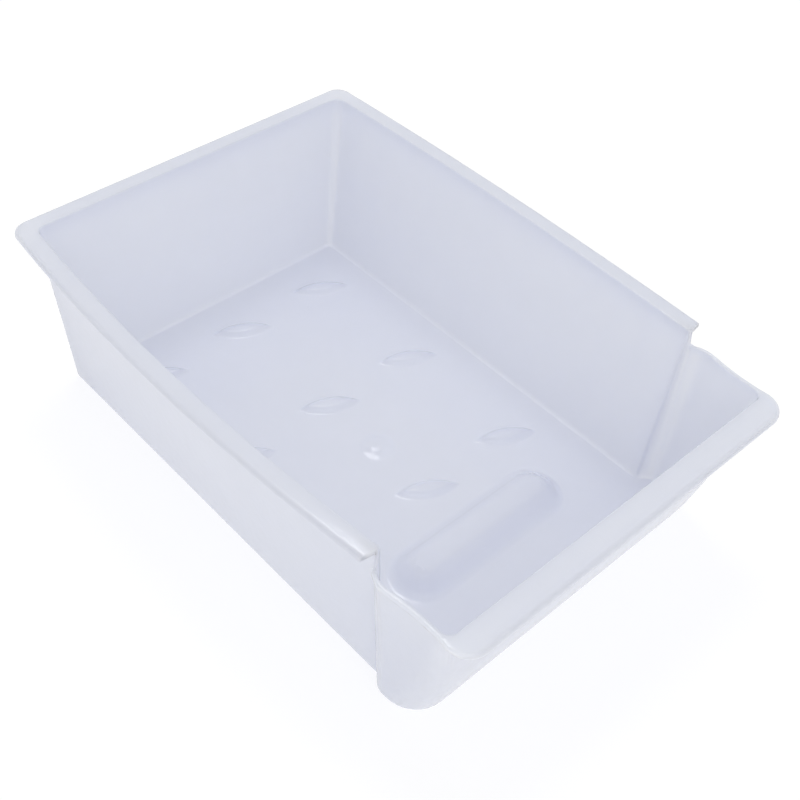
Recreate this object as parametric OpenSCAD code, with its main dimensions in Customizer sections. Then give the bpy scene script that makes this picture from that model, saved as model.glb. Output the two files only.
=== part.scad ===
/* [Rim] */
// Width over the outer edges of the side flanges
rim_w = 300; // [240:5:360]
// Depth from the outer back edge to the outer edge of the front lip
depth = 435; // [360:5:520]
// Height of the back and side rims above the ground
rim_h = 136.5; // [110:0.5:180]
// Width of the flange that turns out along the back and the sides
flange_w = 13; // [9:0.5:18]
// Thickness of the flange and of the front lip
flange_t = 2.2; // [1.6:0.1:3]
// Depth of the turned-down outer edge, from the top of the flange
edge_drop = 4.2; // [3.4:0.1:7]
// Thickness of the turned-down outer edge
edge_t = 1.8; // [1.4:0.1:2.6]
// Rounding of the outer edge of flange and lip
edge_round = 3; // [0.8:0.1:3]
// Rounding of the inner edge of the rim
inner_round = 0.8; // [0.3:0.1:1.2]
// Radius of the flange at its two back corners
rim_corner_r = 12; // [8:0.5:20]
// How far the left rim bows outwards at the middle of its length
bow_left = 9; // [0:0.5:12]
// How far the right rim bows outwards at the middle of its length
bow_right = 4; // [0:0.5:12]

/* [Tub] */
// Thickness of the walls
wall = 2; // [1.4:0.1:3]
// Thickness of the floor
floor_t = 2; // [1.4:0.1:3]
// Draft of the side walls, in degrees
side_draft = 4.75; // [2:0.25:8]
// Draft of the back wall, in degrees
back_draft = 4.75; // [2:0.25:8]
// Draft of the front wall, in degrees
front_draft = 5; // [2:0.25:9]
// How far the foot of the front wall curves in
front_toe = 9.5; // [0:0.5:14]
// Radius of the upright inside corners at the back, at the rim
corner_r_top = 7.5; // [5:0.5:16]
// Radius of the upright inside corners at the back, at the floor
corner_r_floor = 4; // [4:0.5:10]
// Radius of the inside fillet between floor and walls
floor_r = 2.5; // [1.5:0.25:3.5]

/* [Low front] */
// Height of the low front rim above the ground
low_h = 122; // [95:1:128]
// Length of the low part, from the end of the flanges to the front of the lip
low_len = 78.5; // [60:0.5:110]
// How far the side walls step out at the low rim, where the low part begins
step_out = 5.5; // [3:0.25:8]
// How far the side walls step out at the floor
step_out_floor = 7.5; // [3:0.25:9]
// Length over which the walls step out at the floor
step_len = 9; // [6:0.5:14]
// How far the step leans forward on its way down to the floor
step_lean = 3; // [0:0.5:6]
// How far the end of the high wall leans forward on its way down
notch_run = 1; // [0.5:0.5:6]
// Fillet between the end of the high wall and the low rim
notch_r = 2.5; // [1.5:0.5:6]
// How far the low side rims bulge outwards, a little before the step
low_bow = 3; // [0:0.25:4]
// Width of the bead on the low side rims, wall included
bead_w = 3; // [2.8:0.1:6]
// Height of the bead on the low side rims
bead_h = 3.5; // [2:0.25:6]
// Depth of the front lip, wall included
lip_w = 18; // [12:0.5:26]
// How far each end of the lip stands out past the bead
lip_ear = 1; // [0:0.25:4]
// Radius of the outer corners of the lip
lip_corner_r = 15.5; // [9:0.5:20]
// Radius of the upright inside front corners at the lip
front_r_top = 6; // [4:0.5:12]
// Radius of the upright inside front corners at the floor
front_r_floor = 22; // [12:1:32]

/* [Floor ribs] */
// Length of one oval rib
rib_len = 49; // [30:1:60]
// Width of one oval rib
rib_w = 19; // [16:0.5:24]
// Height of a rib above the floor
rib_h = 3.5; // [2:0.25:7]
// Width of the flank round a rib
rib_flank = 6.5; // [3:0.25:7]
// How much of its pointed tips the rounding takes off a rib
rib_tip = 1.5; // [0.5:0.25:3]
// Turn of each rib from the width of the drawer, in degrees
rib_turn = -26; // [-40:1:40]
// Spacing of the ribs across the drawer
rib_pitch_x = 81; // [62:1:90]
// Spacing of the ribs from back to front
rib_pitch_y = 105; // [70:1:110]
// Distance from the outer back edge to the first row of ribs
rib_back = 64; // [56:1:80]
// Ribs across the drawer
rib_cols = 3; // [1:2:3]
// Rows of ribs from back to front
rib_rows = 3; // [1:1:3]

/* [Finger grip] */
// Length of the raised grip across the drawer
grip_len = 156; // [100:2:190]
// Width of the raised grip from back to front
grip_w = 48; // [36:1:54]
// Width of the flat on top of the grip
grip_flat = 10; // [6:0.5:14]
// Height of the grip above the floor
grip_h = 13; // [6:0.5:18]
// Distance from the outer edge of the lip to the middle of the grip
grip_front = 111.5; // [96:0.5:118]

/* [Gate mark] */
// Diameter of the round moulding mark in the floor
gate_d = 29; // [16:1:36]
// Height of the moulding mark
gate_h = 2.4; // [1:0.2:4]

/* [Hidden] */
$fn = 96;

// Straight pieces in a quarter round, a long rim, a low side, a fillet and the height of a wall
quarter_n = 8;
rim_n = 12;
low_n = 14;
fillet_n = 4;
wall_n = 5;
// Straight pieces in the flank of a mound
flank_n = 4;
// How far a cut runs past the face that it opens
past = 1;
// How close the bulge of a low side stays to the step, and the ear to the lip
bulge_power = 3.7;
ear_power = 8;
// How low the front wall keeps its curve
toe_power = 4;

half_d = depth / 2;
notch_y = low_len - half_d;
inner_rim_w = rim_w / 2 - flange_w;
inner_back = half_d - flange_w;
inner_front = lip_w - half_d;

function at(from, to, t) = from + (to - from) * t;
function smooth(t) = (1 - cos(180 * t)) / 2;
function turn(c, r, a) = c + r * [cos(a), sin(a)];

// Half width behind the step, back and front of the inside wall at height z
function side_at(z) = inner_rim_w - tan(side_draft) * (rim_h - z);
function back_at(z) = inner_back - tan(back_draft) * (rim_h - z);
function front_at(z) =
    inner_front + tan(front_draft) * (low_h - z) + front_toe * pow(max(0, 1 - z / low_h), toe_power);
function front_r_at(z) = at(front_r_floor, front_r_top, z / low_h);
function corner_r_at(z) = at(corner_r_floor, corner_r_top, z / rim_h);
function step_at(z) = at(step_out_floor, step_out, z / low_h);

// Bulge of the low side rim, and the ear that it runs out of, from the lip at 0 to the step at 1
function low_bow_at(t) = low_bow * sin(180 * pow(t, bulge_power));
function ear_at(t) = lip_ear * pow(1 - t, ear_power);

// Edge of the notch as [y, z], from the low rim up to the end of the high rim
notch_lean = atan2(notch_run, rim_h - low_h);
notch_end = notch_y - edge_t;
notch_c = [notch_end - notch_run - notch_r * tan((90 - notch_lean) / 2), low_h + notch_r];
notch_foot = turn(notch_c, notch_r, -notch_lean);
notch_top = [notch_end, rim_h];
notch_edge = concat(
    [for (i = [0 : fillet_n]) turn(notch_c, notch_r, at(-90, -notch_lean, i / fillet_n))],
    [(notch_foot + notch_top) / 2, notch_top]
);

// One half of the plan as places [stretch, how far along it], from the front round to the back
front_corner = 0;
low_side = 1;
notch = 2;
high_side = 3;
back_corner = 4;
places = concat(
    [for (i = [0 : quarter_n]) [front_corner, i / quarter_n]],
    [for (i = [1 : low_n - 1]) [low_side, i / low_n]],
    [for (i = [0 : len(notch_edge) - 1]) [notch, i]],
    [for (i = [0 : rim_n]) [high_side, i / rim_n]],
    [for (i = [1 : quarter_n]) [back_corner, i / quarter_n]]
);

// Height of the rim at a place
function top_of(p) = p[0] == notch ? notch_edge[p[1]][1] : p[0] < notch ? low_h : rim_h;

// How much of the flange a place has: none along the bead, all along the lip and the flange
function flange_share(p) =
    p[0] == front_corner ? 1 - p[1] :
    p[0] < high_side ? 0 : 1;

// Line from the low side to the high one at height z, as its y for a rim that stands at y
function leant(y, z) = y - step_lean * (rim_h - z) / rim_h;

// y of the step at height z, for a place that ends at the point edge and lies share of the way out
function step_y(edge, share, z) = at(notch_end - step_lean - step_len * share, edge[0], z / edge[1]);

// Point of the wall at a place and a height, e outside its inner face
function wall_point(p, z, e, bow) =
    let (
        t = p[1],
        front = front_at(z),
        rf = front_r_at(z),
        wide = side_at(z) + step_at(z),
        y_low = step_y(notch_edge[0], 1, z) - e / 2
    )
    p[0] == front_corner ? turn([wide - rf, front + rf], rf + e, at(-90, 0, t)) :
    p[0] == low_side ? [wide + low_bow_at(t) * z / low_h + e, at(front + rf, y_low, t)] :
    p[0] == notch ?
        let (share = 1 - t / (len(notch_edge) - 1))
        [side_at(z) + step_at(z) * sin(90 * share) + e,
         step_y(notch_edge[t], share, z) + e * (0.4 - 0.9 * share)] :
    let (r = corner_r_at(z))
    p[0] == high_side ?
        [side_at(z) + bow * 4 * t * (1 - t) * z / rim_h + e, at(leant(notch_y, z), back_at(z) - r, t)] :
    turn([side_at(z) - r, back_at(z) - r], r + e, at(0, 90, t));

// Point of the outer edge of the rim at a place, moved inwards by o
function rim_point(p, o, bow) =
    let (
        t = p[1],
        low = side_at(low_h) + step_out + bead_w - o,
        lip_x = low + lip_ear,
        lip_y = lip_corner_r - half_d
    )
    p[0] == front_corner ?
        turn([lip_x + o - lip_corner_r, lip_y], lip_corner_r - o, at(-90, 0, t)) :
    p[0] == low_side ?
        [low + low_bow_at(t) + ear_at(t), at(lip_y, notch_edge[0][0], t)] :
    p[0] == notch ?
        let (edge = wall_point(p, top_of(p), bead_w - o, bow))
        [edge[0], notch_edge[t][0]] :
    p[0] == high_side ?
        [rim_w / 2 + bow * 4 * t * (1 - t) - o, at(notch_y, half_d - rim_corner_r, t)] :
    turn([rim_w / 2 - rim_corner_r, half_d - rim_corner_r], rim_corner_r - o, at(0, 90, t));

function lift(p, z) = [p[0], p[1], z];

// Fillet under the wall, r round, e outside the inner face, from the height base upwards
function fillet(p, e, base, r, bow) = [
    for (i = [0 : fillet_n])
        let (a = 90 * i / fillet_n, z = base + r * (1 - cos(a)))
            lift(wall_point(p, z, e - r * (1 - sin(a)), bow), z)
];

// Points up the wall between two heights, closer together near the foot
function upright(p, e, foot, top, bow) = [
    for (i = [1 : wall_n - 1])
        let (z = at(foot, top, pow(i / wall_n, 2)))
            lift(wall_point(p, z, e, bow), z)
];

function reversed(list) = [for (i = [len(list) - 1 : -1 : 0]) list[i]];

// Section of the drawer at a place, from the outer edge of its base over the rim to the floor inside
function section(p, bow) =
    let (
        h = top_of(p),
        share = flange_share(p),
        round_o = at(bead_w / 3, edge_round, share),
        drop = at(bead_h, edge_drop, share),
        edge = at(bead_w / 4, edge_t, share),
        under = at(bead_h + bead_w / 8, flange_t, share),
        under_wall = at(bead_h + bead_w / 3, flange_t, share)
    )
    concat(
        fillet(p, wall, 0, floor_r + wall / 2, bow),
        upright(p, wall, floor_r + wall / 2, h - under_wall, bow),
        [lift(wall_point(p, h - under_wall, wall, bow), h - under_wall)],
        [lift(rim_point(p, edge, bow), h - under)],
        [lift(rim_point(p, edge * at(0.6, 1, share), bow), h - drop)],
        [for (a = [0 : 1]) lift(rim_point(p, 0, bow), at(h - drop, h - round_o, a))],
        [for (a = [30, 60, 90]) lift(rim_point(p, round_o * (1 - cos(a)), bow), h - round_o * (1 - sin(a)))],
        [for (a = [90, 45, 0])
            lift(wall_point(p, h - inner_round * (1 - sin(a)), inner_round * (1 - cos(a)), bow),
                 h - inner_round * (1 - sin(a)))],
        reversed(upright(p, 0, floor_t + floor_r, h - inner_round, bow)),
        reversed(fillet(p, 0, floor_t, floor_r, bow))
    );

// The whole shell: sections at every place, joined round the plan and closed by two flat floors
module shell() {
    right = [for (p = places) section(p, bow_right)];
    left = [for (p = places) [for (q = section(p, bow_left)) [-q[0], q[1], q[2]]]];
    sections = concat(right, reversed(left));
    count = len(sections);
    m = len(sections[0]);
    half = len(right);
    points = [for (s = sections) for (q = s) q];
    walls = [
        for (i = [0 : count - 1]) for (k = [0 : m - 2])
            let (a = i * m + k, b = ((i + 1) % count) * m + k)
                each [[a, a + 1, b], [b, a + 1, b + 1]]
    ];
    floors = [
        for (i = [0 : half - 2])
            let (j = count - 1 - i)
                each [[i * m, (i + 1) * m, (j - 1) * m, j * m],
                      [j * m + m - 1, (j - 1) * m + m - 1, (i + 1) * m + m - 1, i * m + m - 1]]
    ];
    polyhedron(points = points, faces = concat(walls, floors));
}

// Half of the section of a mound of radius r, flat out to the radius flat, h high
function mound_profile(r, flat, h, sink) = concat(
    [[0, -sink], [r, -sink]],
    [for (k = [0 : flank_n]) [at(r, flat, k / flank_n), h * smooth(k / flank_n)]],
    [[0, h]]
);

module mound(r, flat, h, sink) {
    rotate_extrude()
        polygon(mound_profile(r, flat, h, sink));
}

// Oval rib: two wide round mounds cross in a lens, and a third rounds off its tips
module rib(len, w, sink) {
    lens = len + 2 * rib_tip;
    r = (lens * lens + w * w) / (4 * w);
    intersection() {
        intersection_for(side = [-1, 1])
            translate([0, side * (r - w / 2), 0])
                mound(r, r - rib_flank, rib_h, sink);
        mound(len / 2, len / 2 - 1.5 * rib_flank, rib_h, sink);
    }
}

// Long mound with round ends
module grip(len, w, sink) {
    half = (len - w) / 2;
    profile = mound_profile(w / 2, grip_flat / 2, grip_h, sink);
    for (side = [-1, 1])
        translate([side * half, 0, 0])
            mound(w / 2, grip_flat / 2, grip_h, sink);
    for (turned = [0, 180])
        rotate([90, 0, 90 + turned])
            linear_extrude(2 * half, center = true)
                polygon(profile);
}

// Everything that is raised from the floor, standing on z and drawn in all round by less
module floor_forms(z, less, sink) {
    gate_y = half_d - rib_back - (rib_rows - 1.5) * rib_pitch_y;
    for (col = [0 : rib_cols - 1])
        for (row = [0 : rib_rows - 1])
            translate([(col - (rib_cols - 1) / 2) * rib_pitch_x, half_d - rib_back - row * rib_pitch_y, z])
                rotate(rib_turn)
                    rib(rib_len - 2 * less, rib_w - 2 * less, sink);
    translate([0, grip_front - half_d, z])
        grip(grip_len - 2 * less, grip_w - 2 * less, sink);
    translate([0, gate_y, z])
        mound(gate_d / 2 - less, gate_d / 10, gate_h, sink);
}

module drawer() {
    color("lavender")
        difference() {
            union() {
                shell();
                floor_forms(floor_t, 0, floor_t / 2);
            }
            floor_forms(0, wall / 2, past);
        }
}

drawer();
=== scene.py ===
"""Fridge meat drawer: one pan moulded from milky polypropylene, standing on a pale floor."""

import math

import bmesh
import bpy
from bpy.props import FloatProperty, FloatVectorProperty, PointerProperty
from bpy.types import Operator, Panel, PropertyGroup
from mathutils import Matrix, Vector


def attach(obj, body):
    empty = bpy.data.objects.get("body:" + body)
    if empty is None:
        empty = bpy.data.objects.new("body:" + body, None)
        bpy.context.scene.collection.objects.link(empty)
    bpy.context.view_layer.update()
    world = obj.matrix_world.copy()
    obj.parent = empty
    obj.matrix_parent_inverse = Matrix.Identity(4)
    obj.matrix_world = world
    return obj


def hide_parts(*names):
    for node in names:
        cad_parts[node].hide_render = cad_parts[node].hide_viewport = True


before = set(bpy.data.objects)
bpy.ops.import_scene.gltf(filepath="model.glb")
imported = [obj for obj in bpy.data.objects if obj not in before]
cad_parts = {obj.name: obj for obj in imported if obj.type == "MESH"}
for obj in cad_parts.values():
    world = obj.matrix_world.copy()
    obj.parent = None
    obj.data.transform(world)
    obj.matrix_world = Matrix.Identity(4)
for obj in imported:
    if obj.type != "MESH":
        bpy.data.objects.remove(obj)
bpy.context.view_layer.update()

bl_info = {
    "name": "Fridge meat drawer",
    "version": (1, 0, 0),
    "blender": (4, 5, 0),
    "location": "3D View > Sidebar > Meat drawer",
    "description": "Finishes the moulded drawer and sets up the studio round it",
    "category": "Object",
}

NODE = "drawer"
BODY = "root"
WHITE = (1.0, 1.0, 1.0, 1.0)


def hex_linear(code):
    """Linear red, green and blue of an sRGB hex colour."""
    channels = [int(code[i : i + 2], 16) / 255 for i in (0, 2, 4)]
    return [c / 12.92 if c <= 0.04045 else ((c + 0.055) / 1.055) ** 2.4 for c in channels]


def add_node(tree, kind, settings=None, links=None):
    """Adds a node, fills in its settings and sockets, and links its inputs.

    A socket goes by its name, or by its number where two sockets share a name.
    """
    node = tree.nodes.new(kind)
    for name, value in (settings or {}).items():
        if isinstance(name, int) or name in node.inputs:
            node.inputs[name].default_value = value
        else:
            setattr(node, name, value)
    for name, socket in (links or {}).items():
        tree.links.new(socket, node.inputs[name])
    return node


def new_material(name):
    """A material with an empty node tree, and its tree."""
    material = bpy.data.materials.new(name)
    material.use_nodes = True
    material.node_tree.nodes.clear()
    return material, material.node_tree


class DrawerFinish(PropertyGroup):
    """Colours and grain of the moulded plastic."""

    colour: FloatVectorProperty(
        name="Plastic colour",
        description="Body colour of the milky polypropylene",
        subtype="COLOR",
        size=3,
        min=0.0,
        max=1.0,
        default=hex_linear("dde2f8"),
    )
    cloud_depth: FloatProperty(
        name="Clouding",
        description="How much darker the clouds are, where the melt cooled more slowly",
        subtype="FACTOR",
        default=0.05,
        min=0.0,
        max=0.3,
    )
    cloud_size: FloatProperty(
        name="Clouding size",
        description="Width of one soft cloud in the plastic",
        subtype="DISTANCE",
        unit="LENGTH",
        default=0.045,
        min=0.005,
        max=0.2,
    )
    peel_size: FloatProperty(
        name="Mould ripple size",
        description="Width of one ripple left by the polished steel mould",
        subtype="DISTANCE",
        unit="LENGTH",
        default=0.006,
        min=0.001,
        max=0.02,
    )
    peel_height: FloatProperty(
        name="Mould ripple height",
        description="Height of the ripples left by the polished steel mould",
        subtype="DISTANCE",
        unit="LENGTH",
        default=0.00006,
        min=0.0,
        max=0.0005,
    )
    bleed: FloatProperty(
        name="Light bleed",
        description="How far light travels inside the milky plastic",
        subtype="DISTANCE",
        unit="LENGTH",
        default=0.013,
        min=0.0,
        max=0.05,
    )
    roughness: FloatProperty(
        name="Roughness",
        description="Roughness of the satin moulded face",
        subtype="FACTOR",
        default=0.1,
        min=0.0,
        max=1.0,
    )
    sharp_angle: FloatProperty(
        name="Sharp angle",
        description="Edges that turn more than this stay sharp",
        subtype="ANGLE",
        unit="ROTATION",
        default=math.radians(38),
        min=0.0,
        max=math.pi,
    )


class StageSettings(PropertyGroup):
    """Floor, light and camera."""

    floor_colour: FloatVectorProperty(
        name="Floor colour",
        description="Colour of the pale floor",
        subtype="COLOR",
        size=3,
        min=0.0,
        max=1.0,
        default=hex_linear("f7f7f8"),
    )
    table_share: FloatProperty(
        name="Table share",
        description="Share of the light from the table that is its own, the rest is reflected",
        subtype="FACTOR",
        default=0.6,
        min=0.0,
        max=1.0,
    )
    table_glow: FloatProperty(
        name="Table glow",
        description="Strength of the table's own light on the drawer",
        default=1.03,
        min=0.0,
        max=3.0,
    )
    surround: FloatProperty(
        name="Surround",
        description="Strength of the even light from all sides",
        default=0.98,
        min=0.0,
        max=3.0,
    )
    surround_tilt: FloatVectorProperty(
        name="Surround tilt",
        description="Where the surround gets brighter; its length says how much",
        size=3,
        min=-0.9,
        max=0.9,
        default=(0.0, 0.07, -0.55),
    )
    lamp_power: FloatProperty(
        name="Lamp power",
        description="Power of the soft lamp above the back right corner",
        subtype="POWER",
        unit="POWER",
        default=7.5,
        min=0.0,
        max=200.0,
    )
    lamp_size: FloatProperty(
        name="Lamp size",
        description="Side of the square soft lamp above the back right corner",
        subtype="DISTANCE",
        unit="LENGTH",
        default=0.75,
        min=0.05,
        max=3.0,
    )
    fill_power: FloatProperty(
        name="Fill power",
        description="Power of the large soft lamp above and behind the camera",
        subtype="POWER",
        unit="POWER",
        default=7.5,
        min=0.0,
        max=200.0,
    )
    fill_size: FloatProperty(
        name="Fill size",
        description="Side of the large soft lamp above and behind the camera",
        subtype="DISTANCE",
        unit="LENGTH",
        default=1.5,
        min=0.05,
        max=3.0,
    )
    lamp_distance: FloatProperty(
        name="Lamp distance",
        description="Distance of both lamps from the drawer",
        subtype="DISTANCE",
        unit="LENGTH",
        default=2.4,
        min=0.5,
        max=6.0,
    )
    focal_length: FloatProperty(
        name="Focal length",
        description="Focal length of the camera",
        subtype="DISTANCE_CAMERA",
        unit="CAMERA",
        default=54.29,
        min=20.0,
        max=200.0,
    )


# Where the photograph was taken from, in the frame of the drawer. The shift is half of what fits
# the photograph best, so that the drawer stays inside the picture in other views
CAMERA_PLACE = (-0.43159, -0.40354, 0.65415)
CAMERA_TURN = (44.018, -3.2629, -41.782)
CAMERA_SHIFT = (0.06, 0.0)
SENSOR_WIDTH = 36.0
VIEW_DEPTH = 100.0
# The bright spots on the gate mark and on the left rim put the main lamp above the back right
# corner. The outer walls are as bright as the inside, so a second lamp hangs behind the camera
LAMP_DIRECTION = (0.2, 0.3, 0.93)
FILL_DIRECTION = (-0.35, -0.62, 0.7)
# Half of the floor's side, far enough for the horizon to run into the white surround
FLOOR_REACH = 20.0
# Strength of the table's glow as the camera sees it, so that the open table is plain white and
# the shadow of the drawer stays
CAMERA_GLOW = 1.2


def place_camera(stage):
    """Camera at the viewing angle of the photograph."""
    data = bpy.data.cameras.new("photo_camera")
    data.sensor_width = SENSOR_WIDTH
    data.lens = stage.focal_length
    data.shift_x, data.shift_y = CAMERA_SHIFT
    data.clip_end = VIEW_DEPTH
    data.dof.use_dof = False
    camera = bpy.data.objects.new("photo_camera", data)
    camera.location = CAMERA_PLACE
    camera.rotation_euler = [math.radians(a) for a in CAMERA_TURN]
    bpy.context.scene.collection.objects.link(camera)
    bpy.context.scene.camera = camera


def pale_floor_material(stage):
    """Opal acrylic, cast and matted, as on a light table.

    The eye sees no gloss, only the soft shadow of the drawer. Its own glow shines up
    through the milky plastic.
    """
    material, tree = new_material("matt_opal_acrylic_table")
    paint = add_node(tree, "ShaderNodeBsdfDiffuse", {"Color": (*stage.floor_colour, 1.0)})
    path = add_node(tree, "ShaderNodeLightPath")
    strength = add_node(
        tree,
        "ShaderNodeMapRange",
        {"To Min": stage.table_glow, "To Max": CAMERA_GLOW},
        {"Value": path.outputs["Is Camera Ray"]},
    )
    glow = add_node(
        tree,
        "ShaderNodeEmission",
        {"Color": WHITE},
        {"Strength": strength.outputs["Result"]},
    )
    mixed = add_node(
        tree,
        "ShaderNodeMixShader",
        {"Fac": stage.table_share},
        {1: paint.outputs[0], 2: glow.outputs[0]},
    )
    add_node(tree, "ShaderNodeOutputMaterial", None, {"Surface": mixed.outputs[0]})
    return material


def lay_floor(stage):
    """A flat floor under the drawer."""
    bm = bmesh.new()
    bmesh.ops.create_grid(bm, x_segments=1, y_segments=1, size=FLOOR_REACH)
    mesh = bpy.data.meshes.new("floor")
    bm.to_mesh(mesh)
    bm.free()
    mesh.materials.append(pale_floor_material(stage))
    floor = bpy.data.objects.new("floor", mesh)
    bpy.context.scene.collection.objects.link(floor)


def light_surround(stage):
    """Light tent, brighter low down than above, and plain white to the camera."""
    world = bpy.data.worlds.new("light_tent")
    world.use_nodes = True
    tree = world.node_tree
    tree.nodes.clear()
    place = add_node(tree, "ShaderNodeTexCoord")
    along = add_node(
        tree,
        "ShaderNodeVectorMath",
        {"operation": "DOT_PRODUCT", 1: stage.surround_tilt},
        {0: place.outputs["Generated"]},
    )
    strength = add_node(
        tree,
        "ShaderNodeMath",
        {"operation": "MULTIPLY_ADD", 1: stage.surround, 2: stage.surround},
        {0: along.outputs["Value"]},
    )
    tent = add_node(
        tree,
        "ShaderNodeBackground",
        {"Color": WHITE},
        {"Strength": strength.outputs["Value"]},
    )
    white = add_node(tree, "ShaderNodeBackground", {"Color": WHITE, "Strength": 1.0})
    path = add_node(tree, "ShaderNodeLightPath")
    mixed = add_node(
        tree,
        "ShaderNodeMixShader",
        None,
        {"Fac": path.outputs["Is Camera Ray"], 1: tent.outputs[0], 2: white.outputs[0]},
    )
    add_node(tree, "ShaderNodeOutputWorld", None, {"Surface": mixed.outputs[0]})
    bpy.context.scene.world = world


def hang_lamp(name, power, size, direction, distance):
    """Square soft lamp that faces the drawer from a direction."""
    data = bpy.data.lights.new(name, "AREA")
    data.shape = "SQUARE"
    data.size = size
    data.energy = power
    lamp = bpy.data.objects.new(name, data)
    away = Vector(direction).normalized()
    lamp.location = away * distance
    lamp.rotation_euler = away.to_track_quat("Z", "Y").to_euler()
    bpy.context.scene.collection.objects.link(lamp)


class SetStage(Operator):
    """Places the camera, the floor and the light"""

    bl_idname = "meat_drawer.set_stage"
    bl_label = "Set the stage"

    def execute(self, context):
        stage = context.scene.meat_drawer_stage
        place_camera(stage)
        lay_floor(stage)
        light_surround(stage)
        distance = stage.lamp_distance
        hang_lamp("main_lamp", stage.lamp_power, stage.lamp_size, LAMP_DIRECTION, distance)
        hang_lamp("fill_lamp", stage.fill_power, stage.fill_size, FILL_DIRECTION, distance)
        context.scene.view_settings.view_transform = "Standard"
        return {"FINISHED"}


# Polypropylene bends light this much
PLASTIC_IOR = 1.49
# Fine detail of the soft clouds and of the mould ripples
CLOUD_NOISE = {"Detail": 3.0, "Roughness": 0.55}
RIPPLE_NOISE = {"Detail": 2.0, "Roughness": 0.5}
# How far the clouds take the roughness below and above its middle
SMOOTHER = 0.04
ROUGHER = 0.06


def milky_polypropylene(finish):
    """Polypropylene, injection moulded in a polished steel mould.

    The eye sees a milky white with a breath of lavender, light that bleeds through the
    thin walls, a satin shine and faint clouds where the melt flowed. The clouds are 45 mm
    wide. The ripples of the mould are 6 mm wide, as coarse as it takes for them to show.
    """
    material, tree = new_material("milky_polypropylene_injection_moulded")
    place = add_node(tree, "ShaderNodeTexCoord")
    clouds = add_node(
        tree,
        "ShaderNodeTexNoise",
        {"Scale": 1.0 / finish.cloud_size, **CLOUD_NOISE},
        {"Vector": place.outputs["Object"]},
    )
    shade = add_node(
        tree,
        "ShaderNodeMapRange",
        {"To Min": 1.0, "To Max": 1.0 - finish.cloud_depth},
        {"Value": clouds.outputs["Fac"]},
    )
    colour = add_node(
        tree,
        "ShaderNodeHueSaturation",
        {"Color": (*finish.colour, 1.0)},
        {"Value": shade.outputs["Result"]},
    )
    ripples = add_node(
        tree,
        "ShaderNodeTexNoise",
        {"Scale": 1.0 / finish.peel_size, **RIPPLE_NOISE},
        {"Vector": place.outputs["Object"]},
    )
    bump = add_node(
        tree,
        "ShaderNodeBump",
        {"Strength": 1.0, "Distance": finish.peel_height},
        {"Height": ripples.outputs["Fac"]},
    )
    satin = add_node(
        tree,
        "ShaderNodeMapRange",
        {"To Min": finish.roughness - SMOOTHER, "To Max": finish.roughness + ROUGHER},
        {"Value": clouds.outputs["Fac"]},
    )
    plastic = add_node(
        tree,
        "ShaderNodeBsdfPrincipled",
        {
            "IOR": PLASTIC_IOR,
            "Subsurface Weight": 1.0,
            "Subsurface Radius": (1.0, 1.0, 1.0),
            "Subsurface Scale": finish.bleed,
        },
        {
            "Base Color": colour.outputs["Color"],
            "Roughness": satin.outputs["Result"],
            "Normal": bump.outputs["Normal"],
        },
    )
    add_node(tree, "ShaderNodeOutputMaterial", None, {"Surface": plastic.outputs[0]})
    return material


# Corners of loose triangles closer than this are one, and edges shorter than the next value go
MERGE_WITHIN = 1e-5
SHORTEST_EDGE = 1e-6
# How much the large faces outweigh the small ones in the shading of a shared corner
FACE_WEIGHT = 60


class MouldDrawer(Operator):
    """Gives the one moulded piece its smooth faces and its plastic"""

    bl_idname = "meat_drawer.mould_drawer"
    bl_label = "Mould the drawer"

    def execute(self, context):
        finish = context.scene.meat_drawer_finish
        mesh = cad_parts[NODE].data.copy()
        mesh.name = "moulded_drawer"
        bm = bmesh.new()
        bm.from_mesh(mesh)
        bmesh.ops.remove_doubles(bm, verts=bm.verts[:], dist=MERGE_WITHIN)
        bmesh.ops.dissolve_degenerate(bm, edges=bm.edges[:], dist=SHORTEST_EDGE)
        if not bm.faces:
            raise RuntimeError("the drawer's mesh has no faces")
        for face in bm.faces:
            face.smooth = True
        bm.to_mesh(mesh)
        bm.free()
        mesh.set_sharp_from_angle(angle=finish.sharp_angle)
        mesh.materials.clear()
        mesh.materials.append(milky_polypropylene(finish))
        drawer = bpy.data.objects.new("moulded_drawer", mesh)
        context.scene.collection.objects.link(drawer)
        normals = drawer.modifiers.new("even_faces", "WEIGHTED_NORMAL")
        normals.keep_sharp = True
        normals.weight = FACE_WEIGHT
        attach(drawer, BODY)
        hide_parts(NODE)
        return {"FINISHED"}


class DrawerPanel(Panel):
    """Lists the steps and their sizes and colours"""

    bl_idname = "VIEW3D_PT_meat_drawer"
    bl_label = "Meat drawer"
    bl_space_type = "VIEW_3D"
    bl_region_type = "UI"
    bl_category = "Meat drawer"

    def draw(self, context):
        layout = self.layout
        for operator, settings in (
            (SetStage, context.scene.meat_drawer_stage),
            (MouldDrawer, context.scene.meat_drawer_finish),
        ):
            box = layout.box()
            for name in settings.__annotations__:
                box.prop(settings, name)
            box.operator(operator.bl_idname)


CLASSES = (DrawerFinish, StageSettings, SetStage, MouldDrawer, DrawerPanel)


def register():
    for cls in CLASSES:
        bpy.utils.register_class(cls)
    bpy.types.Scene.meat_drawer_finish = PointerProperty(type=DrawerFinish)
    bpy.types.Scene.meat_drawer_stage = PointerProperty(type=StageSettings)


def unregister():
    del bpy.types.Scene.meat_drawer_stage
    del bpy.types.Scene.meat_drawer_finish
    for cls in reversed(CLASSES):
        bpy.utils.unregister_class(cls)


def main():
    register()
    bpy.ops.meat_drawer.set_stage()
    bpy.ops.meat_drawer.mould_drawer()


if __name__ == "__main__":
    main()
